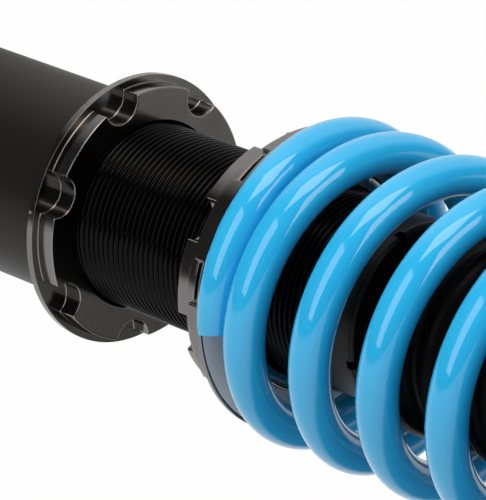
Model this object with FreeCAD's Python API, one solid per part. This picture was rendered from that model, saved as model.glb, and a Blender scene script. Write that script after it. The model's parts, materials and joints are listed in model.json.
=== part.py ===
import FreeCAD, Part
import math
import os

# A coilover suspension strut, in millimetres.
# The origin is on the strut's axis, in the face that bolts up under the car's strut tower.
# +Z runs up the axis, +X points to the ears that hold the wheel knuckle.
# The strut stands at full droop, with its spring just touching both seats.

# Threads and fits
thread_r = 27.0
thread_clearance = 0.06
press_clearance = 0.02
running_clearance = 0.05
seat_gap = 0.3
edge_break = 0.4

# Tower plate with its three studs
plate_thick = 6.0
plate_hub_r = 46.0
stud_circle_r = 54.0
stud_lobe_r = 14.0
stud_count = 3
stud_r = 4.0
stud_shoulder_r = 4.4
stud_proud = 25.0
stud_head_r = 7.5
stud_head_thick = 2.5
opening_half_x = 23.0
opening_half_y = 15.0
opening_corner_r = 8.0

# Camber slide: carrier block, screws and washers
camber_travel = 8.0
carrier_half_x = 28.0
carrier_half_y = 30.0
carrier_corner_r = 6.0
carrier_flange = 6.0
carrier_boss_r = 20.5
screw_x = 20.0
screw_y = 23.0
screw_r = 3.0
screw_head_r = 5.0
screw_head_high = 6.0
screw_socket_af = 5.0
screw_tip = 2.4
slot_clearance = 0.3
washer_r = 6.0
washer_thick = 1.6

# Spherical bearing
ball_r = 12.5
ball_width = 15.0
race_width = 12.0
race_r = 16.0
race_lip = 3.0
race_lip_bore = 14.0
circlip_thick = 1.2
circlip_bite = 1.0
circlip_inner_r = 13.2
circlip_gap = 8.0
ball_play = 0.03

# Rod, its spacers and nut
rod_r = 11.0
stem_r = 7.0
spacer_tip_r = 9.4
spacer_flange_r = 19.0
upper_spacer_r = 11.0
upper_spacer_high = 9.5
lower_spacer_high = 11.0
spacer_flange_thick = 3.0
nut_af = 21.0
nut_high = 13.0
stem_past_nut = 3.5
spindle_r = 2.5
spindle_deep = 12.0
knob_r = 8.0
knob_high = 9.0
knob_flutes = 12
knob_flute_r = 1.2
knob_neck = 1.0

# Thrust bearing under the mount
bearing_washer_thick = 1.5
needle_thick = 3.0
bearing_r = 18.5
bearing_pocket = 4.0

# Spring and its two seats
wire_r = 5.725
coil_r = 40.79
spring_length = 190.0
spring_pitch = 24.4
tail_angle = 52.7
closed_angle = 340.0
tip_tuck = 2.6
tip_curl = 2.7
grind = 1.865
spring_start_angle = -57.3
upper_isolator_thick = 2.2
lower_isolator_thick = 1.0
isolator_r = 43.4
hub_r = 32.0
seat_rim_r = 44.25
seat_rim_thick = 1.5
seat_rim_root = 1.2
seat_skirt_r = 41.38
seat_high = 7.5
seat_hub_rise = 5.0
upper_seat_thick = 6.0
upper_seat_r = 46.0
upper_lip_deep = 1.6
upper_hub_drop = 11.0

# Lock rings and their notches for a hook spanner
ring_r = 39.83
ring_boss_r = 37.5
ring_disc_thick = 2.15
ring_boss_high = 5.85
ring_mouth = 0.8
notch_count = 7
notch_r = 6.1
lower_ring_clock = -83.1
seat_ring_clock = -95.9
seat_notch_clock = -71.9
seat_notch_deep = 4.0
thread_showing = 50.15

# Damper body and what it holds
body_bore = 24.5
body_length = 208.0
body_above_seat = 24.5
gland_r = 26.5
gland_head = 14.7
gland_skirt = 8.0
gland_slot_count = 4
gland_slot_wide = 2.4
gland_slot_deep = 2.5
gland_slot_long = 6.0
gland_slot_clock = -135.0
seal_r = 17.0
seal_thick = 7.0
wiper_r = 15.0
wiper_thick = 4.0
guide_flange = 4.0
guide_pilot = 10.0
bush_wall = 1.5
bush_inset = 1.0
tube_r = 20.5
tube_bore = 19.0
stroke = 85.0
rebound_stop_r = 16.0
rebound_stop_high = 8.0
rebound_washer_thick = 4.0
shim_thick = 0.5
shim_r = 15.0
shim_step = 2.5
shim_count = 3
piston_thick = 12.5
piston_tail_r = 6.0
piston_nut_af = 17.0
piston_nut_high = 8.0
piston_tail_past_nut = 1.5
piston_port_r = 1.8
piston_ports = 8
piston_port_circle = 12.0
band_thick = 1.4
band_high = 8.0
base_cap_flange = 8.0
base_cap_plug = 4.0
base_cap_socket_af = 22.0
base_cap_socket_deep = 5.0
base_valve_foot = 8.0
base_valve_plug = 6.0
bump_stop_r = 19.0
bump_stop_waist = 2.5
bump_stop_margin = 1.3

# Dust boot
boot_rib_count = 9
boot_crest_r = 29.6
boot_valley_r = 25.0
boot_wall = 1.2
boot_crest_wide = 1.6
boot_valley_wide = 1.2
boot_gap = 6.3
boot_cuff = 1.0
boot_top_cuff = 9.0
boot_flange_r = 30.0
boot_flange_thick = 2.0

# Lower bracket that carries the knuckle
bracket_tube_wall = 3.86
bracket_tube_length = 210.0
tube_cap_thick = 6.0
tube_drain_r = 3.0
ear_gap = 32.0
ear_thick = 5.0
ear_bend_r = 6.5
ear_lobe_r = 15.0
knuckle_bolt_r = 7.1
knuckle_bolt_x = 58.0
knuckle_bolt_rise = 17.0
knuckle_bolt_spacing = 60.0
ear_waist_r = 30.0
ear_waist_deep = 8.0
link_tab_thick = 5.0
link_tab_r = 11.0
link_hole_r = 5.1
link_tab_reach = 47.0
link_tab_clear = 7.0
hose_tab_thick = 3.0
hose_tab_r = 9.0
hose_hole_r = 5.2
hose_tab_reach = 47.0
hose_tab_clear = 12.0

# The lower tube's outside, from the thread that it holds
bracket_tube_r = thread_r + thread_clearance + bracket_tube_wall

# Heights worked down the axis from the tower face
ball_z = -plate_thick - race_lip - race_width / 2
ball_top = ball_z + ball_width / 2
ball_bottom = ball_z - ball_width / 2
nut_z = ball_top + upper_spacer_high
stem_top = nut_z + nut_high + stem_past_nut
race_bottom = ball_z - race_width / 2
circlip_z = race_bottom - circlip_thick
carrier_bottom = circlip_z - 1.5 * circlip_thick
shoulder_z = ball_bottom - lower_spacer_high
bearing_top = shoulder_z
needle_top = bearing_top - bearing_washer_thick
needle_bottom = needle_top - needle_thick
pocket_z = needle_bottom - bearing_washer_thick
upper_seat_top = pocket_z + bearing_pocket
upper_seat_under = upper_seat_top - upper_seat_thick
spring_top = upper_seat_under - upper_isolator_thick
spring_bottom = spring_top - spring_length
hub_bottom = upper_seat_under - upper_hub_drop
seat_bottom = spring_bottom - seat_high
ring_high = ring_disc_thick + ring_boss_high
seat_ring_bottom = seat_bottom - ring_high
lower_ring_top = seat_ring_bottom - thread_showing
lower_ring_bottom = lower_ring_top - ring_high
body_top = spring_bottom + body_above_seat
body_bottom = body_top - body_length
gland_top = body_top + gland_head
guide_top = body_top - gland_skirt
guide_flange_z = guide_top - guide_flange
guide_bottom = guide_flange_z - guide_pilot
rebound_washer_top = guide_bottom - rebound_stop_high
rebound_washer_bottom = rebound_washer_top - rebound_washer_thick
shim_stack = shim_thick * shim_count
piston_top = rebound_washer_bottom - shim_stack
piston_bottom = piston_top - piston_thick
piston_nut_top = piston_bottom - shim_stack
piston_tail_end = piston_nut_top - piston_nut_high - piston_tail_past_nut
base_cap_top = body_bottom + base_cap_plug
valve_seat_z = base_cap_top + base_valve_foot
bump_stop_bottom = gland_top + stroke + bump_stop_margin
boot_bottom = gland_top + boot_gap
bracket_tube_bottom = lower_ring_bottom - bracket_tube_length
lower_bolt_z = bracket_tube_bottom + knuckle_bolt_rise
upper_bolt_z = lower_bolt_z + knuckle_bolt_spacing
bracket_top = upper_bolt_z + ear_lobe_r

axis_z = FreeCAD.Vector(0, 0, 1)
centre = FreeCAD.Vector(0, 0, 0)


def at(radius, angle, z=0.0):
    """A point at a radius and an angle in degrees from +X."""
    turn = math.radians(angle)
    return FreeCAD.Vector(radius * math.cos(turn), radius * math.sin(turn), z)


def turned(outline):
    """A full turn of a closed outline of (radius, height) points."""
    points = [FreeCAD.Vector(r, 0, z) for r, z in outline]
    face = Part.Face(Part.makePolygon(points + points[:1]))
    return face.revolve(centre, axis_z, 360)


def rod(radius, low, high, where=centre):
    """A plain round bar along Z between two heights."""
    return Part.makeCylinder(radius, high - low, FreeCAD.Vector(where.x, where.y, low))


def ring(outer, inner, low, high, chamfer=0.0):
    """A ring with its outer corners broken by a chamfer."""
    outline = [(inner, low), (outer - chamfer, low), (outer, low + chamfer)]
    outline += [(outer, high - chamfer), (outer - chamfer, high), (inner, high)]
    kept = []
    for point in outline:
        if not kept or math.dist(point, kept[-1]) > 1e-6:
            kept.append(point)
    return turned(kept)


def hexagon(across_flats, low, high):
    """A hexagonal bar between two heights."""
    corner_r = across_flats / math.sqrt(3)
    corners = [at(corner_r, 60 * i, low) for i in range(7)]
    return Part.Face(Part.makePolygon(corners)).extrude(FreeCAD.Vector(0, 0, high - low))


def around(shape, count, first=0.0):
    """Copies of a shape spread evenly about the axis."""
    copies = []
    for i in range(count):
        copy = shape.copy()
        copy.rotate(centre, axis_z, first + 360.0 * i / count)
        copies.append(copy)
    return copies


def stadium(half_length, radius, low, high, where):
    """A slot shape along X: half_length from its middle to each end's centre."""
    block = Part.makeBox(2 * half_length, 2 * radius, high - low)
    block.translate(FreeCAD.Vector(where.x - half_length, where.y - radius, low))
    ends = [rod(radius, low, high, where + FreeCAD.Vector(side * half_length, 0, 0)) for side in (-1, 1)]
    return block.fuse(ends).removeSplitter()


def rounded_block(half_x, half_y, corner_r, low, high):
    """A block centred on the axis with rounded upright corners."""
    block = Part.makeBox(2 * half_x, 2 * half_y, high - low, FreeCAD.Vector(-half_x, -half_y, low))
    upright = [e for e in block.Edges if abs(e.tangentAt(e.FirstParameter).z) > 0.99]
    return block.makeFillet(corner_r, upright)


def save(name, shape):
    """Write one sub-part and report its solids and volume."""
    if not shape.isValid():
        print("not valid:", name)
    print(f"{name}: {len(shape.Solids)} solid(s), {shape.Volume / 1000:.2f} cm3")
    shape.exportStep(f"parts/{name}.step")


def screw_places():
    return [FreeCAD.Vector(x, y, 0) for x in (-screw_x, screw_x) for y in (-screw_y, screw_y)]


def top_plate():
    """A hub with three stud lobes joined to it by tangent lines, its opening and slide slots."""
    lean = math.degrees(math.acos((plate_hub_r - stud_lobe_r) / stud_circle_r))
    edges = []
    step = 360.0 / stud_count
    for i in range(stud_count):
        lobe_angle = 90 + step * i
        lobe = at(stud_circle_r, lobe_angle)
        last_hub = at(plate_hub_r, lobe_angle - lean)
        first_lobe = lobe + at(stud_lobe_r, lobe_angle - lean)
        last_lobe = lobe + at(stud_lobe_r, lobe_angle + lean)
        next_hub = at(plate_hub_r, lobe_angle + lean)
        far_hub = at(plate_hub_r, lobe_angle + step - lean)
        edges.append(Part.LineSegment(last_hub, first_lobe).toShape())
        edges.append(Part.Arc(first_lobe, lobe + at(stud_lobe_r, lobe_angle), last_lobe).toShape())
        edges.append(Part.LineSegment(last_lobe, next_hub).toShape())
        edges.append(Part.Arc(next_hub, at(plate_hub_r, lobe_angle + step / 2), far_hub).toShape())
    blank = Part.Face(Part.Wire(edges)).extrude(FreeCAD.Vector(0, 0, -plate_thick))
    rims = [e for e in blank.Edges if abs(e.CenterOfMass.z + plate_thick / 2) > plate_thick / 2 - 0.01]
    blank = blank.makeChamfer(edge_break, rims)
    low = -plate_thick - 1
    cuts = [rounded_block(opening_half_x, opening_half_y, opening_corner_r, low, 1)]
    cuts += around(rod(stud_shoulder_r + press_clearance, low, 1, at(stud_circle_r, 90)), stud_count)
    slot_r = screw_r + slot_clearance
    cuts += [stadium(camber_travel, slot_r, low, 1, place) for place in screw_places()]
    return blank.cut(cuts)


def tower_studs():
    """Three pressed studs: a flat head, a knurled shoulder in the plate, a shank up through the tower."""
    low = -plate_thick - stud_head_thick
    outline = [(0, low), (stud_head_r - edge_break, low), (stud_head_r, low + edge_break)]
    outline += [(stud_head_r, -plate_thick), (stud_shoulder_r, -plate_thick), (stud_shoulder_r, 0), (stud_r, 0)]
    outline += [(stud_r, stud_proud - 1), (stud_r - 1, stud_proud), (0, stud_proud)]
    stud = turned(outline)
    stud.translate(at(stud_circle_r, 90))
    return Part.makeCompound(around(stud, stud_count))


def bearing_carrier():
    """The sliding block: a flange under the plate and a boss bored for the bearing."""
    top = -plate_thick
    block = rounded_block(carrier_half_x, carrier_half_y, carrier_corner_r, top - carrier_flange, top)
    block = block.fuse(ring(carrier_boss_r, race_lip_bore, carrier_bottom, top, edge_break))
    bore = [(0, carrier_bottom - 1), (race_r + press_clearance, carrier_bottom - 1)]
    groove_r = race_r + circlip_bite
    bore += [(race_r + press_clearance, circlip_z), (groove_r, circlip_z), (groove_r, race_bottom)]
    bore += [(race_r + press_clearance, race_bottom), (race_r + press_clearance, top - race_lip)]
    bore += [(race_lip_bore, top - race_lip), (race_lip_bore, top + 1), (0, top + 1)]
    cuts = [turned(bore)]
    for place in screw_places():
        cuts.append(rod(screw_r + press_clearance, top - carrier_flange - 1, top + 1, place))
    return block.cut(cuts)


def slider_screws():
    """Four socket-head screws through the plate's slots into the carrier."""
    head = ring(screw_head_r, 0, washer_thick, washer_thick + screw_head_high, edge_break)
    socket_floor = washer_thick + screw_head_high / 2
    head = head.cut(hexagon(screw_socket_af, socket_floor, washer_thick + screw_head_high + 1))
    screw = head.fuse(rod(screw_r, -plate_thick - carrier_flange - screw_tip, washer_thick + 1))
    screws = []
    for place in screw_places():
        copy = screw.removeSplitter()
        copy.translate(place)
        screws.append(copy)
    return Part.makeCompound(screws)


def slider_washers():
    washers = []
    for place in screw_places():
        washer = ring(washer_r, screw_r + running_clearance, 0, washer_thick, edge_break / 2)
        washer.translate(place)
        washers.append(washer)
    return Part.makeCompound(washers)


def bearing_race():
    """The bearing's outer ring, hollowed to the ball."""
    blank = rod(race_r, race_bottom, ball_z + race_width / 2)
    return blank.cut(Part.makeSphere(ball_r + ball_play, FreeCAD.Vector(0, 0, ball_z)))


def bearing_circlip():
    """An internal circlip, open at one side."""
    clip = ring(race_r + circlip_bite - running_clearance, circlip_inner_r, circlip_z, race_bottom)
    gap = Part.makeBox(race_r * 2, circlip_gap, 4 * circlip_thick)
    gap.translate(FreeCAD.Vector(0, -circlip_gap / 2, circlip_z - circlip_thick))
    return clip.cut(gap)


def spherical_ball():
    ball = Part.makeSphere(ball_r, FreeCAD.Vector(0, 0, ball_z))
    return ball.common(rod(ball_r + 1, ball_bottom, ball_top)).cut(
        rod(stem_r + press_clearance, ball_bottom - 1, ball_top + 1))


def upper_spacer():
    """The cone between ball and nut."""
    bore = stem_r + running_clearance
    cone_top = ball_top + upper_spacer_high / 2
    return turned([(bore, ball_top), (spacer_tip_r, ball_top), (upper_spacer_r, cone_top),
                   (upper_spacer_r, nut_z), (bore, nut_z)])


def lower_spacer():
    """The cone between ball and rod shoulder, with a flange for the thrust bearing."""
    bore = stem_r + running_clearance
    flange_top = shoulder_z + spacer_flange_thick
    return turned([(bore, shoulder_z), (spacer_flange_r - edge_break, shoulder_z),
                   (spacer_flange_r, shoulder_z + edge_break), (spacer_flange_r, flange_top - edge_break),
                   (spacer_flange_r - edge_break, flange_top), (rod_r + 1, flange_top),
                   (spacer_tip_r, ball_bottom), (bore, ball_bottom)])


def hex_nut(across_flats, bore_r, low, high):
    """A hex nut with its corners turned off at both ends."""
    corner_r = across_flats / math.sqrt(3)
    drop = (corner_r - across_flats / 2) * math.tan(math.radians(30))
    trim = turned([(0, low), (across_flats / 2, low), (corner_r, low + drop),
                   (corner_r, high - drop), (across_flats / 2, high), (0, high)])
    return hexagon(across_flats, low, high).common(trim).cut(rod(bore_r, low - 1, high + 1))


def piston_rod():
    """Chromed bar with a stem at the top for the mount and a tail at the foot for the piston."""
    return turned([(0, piston_tail_end), (piston_tail_r - edge_break, piston_tail_end),
                   (piston_tail_r, piston_tail_end + edge_break), (piston_tail_r, rebound_washer_top),
                   (rod_r, rebound_washer_top), (rod_r, shoulder_z), (stem_r, shoulder_z),
                   (stem_r, stem_top - edge_break), (stem_r - edge_break, stem_top),
                   (spindle_r + running_clearance, stem_top),
                   (spindle_r + running_clearance, stem_top - spindle_deep - 1),
                   (0, stem_top - spindle_deep - 1)])


def adjuster_knob():
    """The damping adjuster: a fluted knob on the spindle that runs down inside the stem."""
    low = stem_top + knob_neck
    high = low + knob_high
    knob = turned([(0, stem_top - spindle_deep), (spindle_r, stem_top - spindle_deep),
                   (spindle_r, low), (knob_r - edge_break, low), (knob_r, low + edge_break),
                   (knob_r, high - 1), (knob_r - 1, high), (0, high)])
    flute = rod(knob_flute_r, low - 1, high + 1, at(knob_r + knob_flute_r / 3, 0))
    return knob.cut(around(flute, knob_flutes))


def upper_spring_seat():
    """A turned top hat: plate, lip round the isolator, hub for the spring and bearing pocket."""
    lip_z = upper_seat_under - upper_lip_deep
    lip_r = isolator_r + running_clearance
    bore = rod_r + running_clearance
    pocket_r = spacer_flange_r + seat_gap
    return turned([(bore, hub_bottom), (hub_r - 1, hub_bottom), (hub_r, hub_bottom + 1),
                   (hub_r, upper_seat_under), (lip_r, upper_seat_under), (lip_r, lip_z),
                   (upper_seat_r - edge_break, lip_z), (upper_seat_r, lip_z + edge_break),
                   (upper_seat_r, upper_seat_top - 1), (upper_seat_r - 1, upper_seat_top),
                   (pocket_r, upper_seat_top), (pocket_r, pocket_z), (bore, pocket_z)])


def bump_stop():
    """A polyurethane buffer with two waists and a tapered nose."""
    high = hub_bottom
    low = bump_stop_bottom
    length = high - low
    bore = rod_r + seat_gap
    waist_r = bump_stop_r - bump_stop_waist
    steps = ((1.0, bump_stop_r), (0.74, bump_stop_r), (0.66, waist_r), (0.58, bump_stop_r),
             (0.42, bump_stop_r), (0.34, waist_r), (0.26, bump_stop_r), (0.12, bump_stop_r),
             (0.0, waist_r))
    outline = [(radius, low + share * length) for share, radius in steps]
    return turned(outline + [(bore, low), (bore, high)])


def boot_loft(rib_start, rib_end, ends, crest_r, valley_r):
    """Ribs as one ruled loft: four circles for each rib, between the boot's two end circles."""
    pitch = (rib_end - rib_start) / boot_rib_count
    circles = [ends[0]]
    for i in range(boot_rib_count):
        low = rib_start + pitch * i
        middle = low + pitch / 2
        circles.append((valley_r, low + boot_valley_wide / 2))
        circles.append((crest_r, middle - boot_crest_wide / 2))
        circles.append((crest_r, middle + boot_crest_wide / 2))
        circles.append((valley_r, low + pitch - boot_valley_wide / 2))
    circles.append(ends[1])
    wires = []
    for radius, z in circles:
        wires.append(Part.Wire(Part.makeCircle(radius, FreeCAD.Vector(0, 0, z), axis_z)))
    return Part.makeLoft(wires, True, True)


def dust_boot():
    """A bellows over the rod, hung under the upper seat by a flange."""
    rib_start = boot_bottom + boot_cuff
    rib_end = hub_bottom - boot_top_cuff
    outer_ends = ((boot_valley_r, boot_bottom), (boot_valley_r, hub_bottom))
    inner_r = boot_valley_r - boot_wall
    inner_ends = ((inner_r, boot_bottom - 1), (inner_r, hub_bottom + 1))
    skin = boot_loft(rib_start, rib_end, outer_ends, boot_crest_r, boot_valley_r)
    hollow = boot_loft(rib_start, rib_end, inner_ends, boot_crest_r - boot_wall, inner_r)
    flange = ring(boot_flange_r, inner_r, hub_bottom - boot_flange_thick, hub_bottom, edge_break)
    return skin.fuse(flange).cut(hollow)


def spring_height(turn):
    """Height of the wire's centre over the ground foot, at a turn in degrees from the wire's tip.

    The tip tucks down, the first coil closes on a parabola, then the coils rise at a steady pitch.
    """
    foot = wire_r - grind
    if turn < tail_angle:
        return foot - tip_tuck * ((tail_angle - turn) / tail_angle) ** 1.5
    slope = spring_pitch / 360
    closed = tail_angle + closed_angle
    if turn < closed:
        return foot + slope * (turn - tail_angle) ** 2 / (2 * closed_angle)
    return foot + slope * closed_angle / 2 + slope * (turn - closed)


def spring_turns():
    """Degrees of wire from tip to tip that fill the spring's length."""
    closed = tail_angle + closed_angle
    steady = spring_length - 2 * spring_height(closed)
    return 2 * closed + steady * 360 / spring_pitch


def spring_point(turn):
    """The wire's centre line, wound left-handed and alike at both ends."""
    total = spring_turns()
    near = min(turn, total - turn)
    rise = spring_height(near)
    z = spring_bottom + rise if turn <= total / 2 else spring_top - rise
    radius = coil_r
    if near < tail_angle:
        radius -= tip_curl * ((tail_angle - near) / tail_angle) ** 2
    return at(radius, spring_start_angle - turn, z)


def spring_tangent(turn):
    ahead = spring_point(turn + 0.01) if turn < 1 else spring_point(turn)
    behind = spring_point(turn) if turn < 1 else spring_point(turn - 0.01)
    return (ahead - behind).normalize()


def arc_from(start, tangent, end):
    """The circular arc that leaves start along tangent and reaches end."""
    chord = end - start
    inward = (chord - tangent * chord.dot(tangent)).normalize()
    radius = chord.dot(chord) / (2 * chord.dot(inward))
    middle = start + inward * radius
    bisector = ((start - middle) + (end - middle)).normalize()
    return Part.Arc(start, middle + bisector * radius, end).toShape()


def biarc(first, last):
    """Two arcs that join two points of the wire along its tangents there."""
    start, end = spring_point(first), spring_point(last)
    leave, arrive = spring_tangent(first), spring_tangent(last)
    chord = end - start
    turn = 2 * (1 - leave.dot(arrive))
    along = chord.dot(leave + arrive)
    reach = (math.sqrt(along ** 2 + turn * chord.dot(chord)) - along) / turn
    meet = (start + end + (leave - arrive) * reach) * 0.5
    return [arc_from(start, leave, meet), arc_from(end, arrive * -1, meet)]


def spring():
    """One wire in an unbroken tube on quarter-turn biarcs, then ground flat at both ends."""
    total = spring_turns()
    spans = round(total / 90)
    marks = [total * i / spans for i in range(spans + 1)]
    edges = []
    for first, last in zip(marks, marks[1:]):
        edges += biarc(first, last)
    path = Part.Wire(Part.__sortEdges__(edges))
    section = Part.Wire(Part.makeCircle(wire_r, spring_point(0), spring_tangent(0)))
    tube = path.makePipeShell([section], True, False)
    report_spring_gap(total)
    return tube.common(rod(coil_r + 4 * wire_r, spring_bottom, spring_top))


def report_spring_gap(total):
    """Least gap between neighbouring coils, measured on points of the centre line."""
    step = 3.0
    points = [spring_point(step * i) for i in range(int(total / step) + 1)]
    apart = int(200 / step)
    least = min((a - b).Length for i, a in enumerate(points) for b in points[i + apart:i + 2 * apart])
    print(f"spring: {total / 360:.2f} turns, least gap to itself {least - 2 * wire_r:.2f} mm")


def upper_isolator():
    return ring(isolator_r, hub_r + running_clearance, spring_top, upper_seat_under)


def lower_isolator():
    return ring(isolator_r, hub_r + running_clearance, spring_bottom - lower_isolator_thick, spring_bottom)


def thread_bore(low, high, mouth=ring_mouth):
    """What is cut away for an internal thread with both mouths chamfered."""
    bore = thread_r + thread_clearance
    return turned([(0, low - 1), (bore + mouth, low - 1), (bore + mouth, low), (bore, low + mouth),
                   (bore, high - mouth), (bore + mouth, high), (bore + mouth, high + 1), (0, high + 1)])


def spring_seat():
    """The adjustable perch: notched skirt, rim, isolator recess and a hub inside the spring."""
    hub_top = spring_bottom + seat_hub_rise
    rim_z = spring_bottom - seat_rim_thick
    floor_z = spring_bottom - lower_isolator_thick
    recess_r = isolator_r + running_clearance
    blank = turned([(0, seat_bottom), (seat_skirt_r - edge_break, seat_bottom),
                    (seat_skirt_r, seat_bottom + edge_break), (seat_skirt_r, rim_z - seat_rim_root),
                    (seat_skirt_r + seat_rim_root, rim_z), (seat_rim_r, rim_z),
                    (seat_rim_r, spring_bottom - edge_break / 2), (seat_rim_r - edge_break / 2, spring_bottom),
                    (recess_r, spring_bottom), (recess_r, floor_z), (hub_r, floor_z),
                    (hub_r, hub_top - 1), (hub_r - 1, hub_top), (0, hub_top)])
    notch = rod(notch_r, seat_bottom - 1, seat_bottom + seat_notch_deep, at(seat_skirt_r, 0))
    cuts = around(notch, notch_count, seat_notch_clock)
    return blank.cut(cuts + [thread_bore(seat_bottom, hub_top)])


def lock_ring(disc_z, up, clock):
    """A lock ring: thin disc at disc_z and a boss with half-round notches, above or below it."""
    blank = turned([(0, 0), (ring_r - edge_break / 2, 0), (ring_r, edge_break / 2),
                    (ring_r, ring_disc_thick - edge_break / 2), (ring_r - edge_break / 2, ring_disc_thick),
                    (ring_boss_r, ring_disc_thick), (ring_boss_r, ring_high - edge_break),
                    (ring_boss_r - edge_break, ring_high), (0, ring_high)])
    notch = rod(notch_r, ring_disc_thick, ring_high + 1, at(ring_boss_r, 0))
    made = blank.cut(around(notch, notch_count) + [thread_bore(0, ring_high)])
    if not up:
        made.rotate(centre, FreeCAD.Vector(1, 0, 0), 180)
    made.rotate(centre, axis_z, clock)
    made.translate(FreeCAD.Vector(0, 0, disc_z))
    return made


def threaded_body():
    """The damper's outer body, threaded outside over its whole length."""
    return ring(thread_r, body_bore, body_bottom, body_top, 1.0)


def gland_nut():
    """Closes the body: skirt screwed inside it, head with spanner slots, seal and wiper seats."""
    skirt_r = body_bore - running_clearance
    throat = rod_r + 1.0
    seal_top = guide_top + seal_thick
    wiper_z = gland_top - wiper_thick
    blank = turned([(seal_r, guide_top), (skirt_r, guide_top), (skirt_r, body_top),
                    (gland_r, body_top), (gland_r, gland_top - 1), (gland_r - 1, gland_top),
                    (wiper_r, gland_top), (wiper_r, wiper_z), (throat, wiper_z),
                    (throat, seal_top), (seal_r, seal_top)])
    slot = Part.makeBox(gland_slot_long + 1, gland_slot_wide, gland_slot_deep + 1)
    slot.translate(FreeCAD.Vector(gland_r - gland_slot_long, -gland_slot_wide / 2, gland_top - gland_slot_deep))
    return blank.cut(around(slot, gland_slot_count, gland_slot_clock))


def rod_wiper():
    """The scraper ring in the gland's mouth, with its lip on the rod."""
    low = gland_top - wiper_thick
    outer = wiper_r - running_clearance
    lip = rod_r + running_clearance
    return turned([(lip + 1, low), (outer, low), (outer, gland_top), (rod_r + 2, gland_top),
                   (rod_r + 1, gland_top + 1), (lip, gland_top + 0.6), (lip, gland_top - 1)])


def oil_seal():
    return ring(seal_r - running_clearance, rod_r + running_clearance, guide_top, guide_top + seal_thick)


def rod_guide():
    """Centres the rod: a flange in the body and a pilot in the pressure tube."""
    bore = rod_r + bush_wall
    outer = body_bore - running_clearance
    pilot = tube_bore - running_clearance
    return turned([(bore, guide_bottom), (pilot - edge_break, guide_bottom),
                   (pilot, guide_bottom + edge_break), (pilot, guide_flange_z), (outer, guide_flange_z),
                   (outer, guide_top), (bore, guide_top)])


def guide_bush():
    low = guide_bottom + bush_inset
    high = guide_top - bush_inset
    return ring(rod_r + bush_wall - press_clearance, rod_r + running_clearance, low, high)


def pressure_tube():
    return ring(tube_r, tube_bore, valve_seat_z, guide_flange_z)


def rebound_stop():
    high = guide_bottom
    return ring(rebound_stop_r, rod_r + running_clearance, rebound_washer_top, high, 1.0)


def rebound_washer():
    """Carries the rebound stop, clamped between the rod's lower shoulder and the shims."""
    bore = piston_tail_r + running_clearance
    return ring(rebound_stop_r, bore, rebound_washer_bottom, rebound_washer_top, edge_break)


def shims(face_z, direction):
    """A stack of spring-steel discs that get smaller away from the piston's face."""
    discs = []
    for i in range(shim_count):
        low = face_z + direction * shim_thick * i
        high = low + direction * shim_thick
        bore = piston_tail_r + running_clearance
        discs.append(ring(shim_r - shim_step * i, bore, min(low, high), max(low, high)))
    return Part.makeCompound(discs)


def piston():
    """The damping piston with its ports and the groove of its band."""
    outer = tube_bore - 4 * running_clearance
    groove = outer - band_thick
    middle = (piston_top + piston_bottom) / 2
    bore = piston_tail_r + running_clearance
    blank = turned([(bore, piston_bottom), (outer, piston_bottom), (outer, middle - band_high / 2),
                    (groove, middle - band_high / 2), (groove, middle + band_high / 2),
                    (outer, middle + band_high / 2), (outer, piston_top), (bore, piston_top)])
    port = rod(piston_port_r, piston_bottom - 1, piston_top + 1, at(piston_port_circle, 0))
    return blank.cut(around(port, piston_ports))


def piston_band():
    """The sliding band round the piston, in its groove."""
    middle = (piston_top + piston_bottom) / 2
    groove = tube_bore - 4 * running_clearance - band_thick
    half = band_high / 2 - running_clearance
    return ring(tube_bore - running_clearance, groove + running_clearance, middle - half, middle + half)


def base_valve():
    """The foot valve: a plug in the pressure tube on a ported foot."""
    plug_r = tube_bore - running_clearance
    blank = turned([(0, base_cap_top), (tube_r, base_cap_top), (tube_r, valve_seat_z),
                    (plug_r, valve_seat_z), (plug_r, valve_seat_z + base_valve_plug),
                    (0, valve_seat_z + base_valve_plug)])
    port = rod(piston_port_r, base_cap_top - 1, valve_seat_z + base_valve_plug + 1, at(piston_port_circle, 0))
    return blank.cut(around(port, piston_ports))


def base_cap():
    """Screws into the foot of the body, with a hexagon socket to turn it."""
    low = body_bottom - base_cap_flange
    plug_r = body_bore - running_clearance
    flange_r = thread_r - 2 * running_clearance
    blank = turned([(0, low), (flange_r - 1, low), (flange_r, low + 1), (flange_r, body_bottom),
                    (plug_r, body_bottom), (plug_r, base_cap_top), (0, base_cap_top)])
    return blank.cut(hexagon(base_cap_socket_af, low - 1, low + base_cap_socket_deep))


def bracket_tube():
    """The black lower tube that the threaded body screws into."""
    blank = rod(bracket_tube_r, bracket_tube_bottom, lower_ring_bottom)
    return blank.cut(thread_bore(bracket_tube_bottom, lower_ring_bottom))


def tube_cap():
    """Closes the foot of the lower tube, with a drain hole."""
    outer = thread_r + thread_clearance - press_clearance
    low = bracket_tube_bottom + ring_mouth
    return ring(outer, tube_drain_r, low, low + tube_cap_thick, edge_break)


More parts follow.
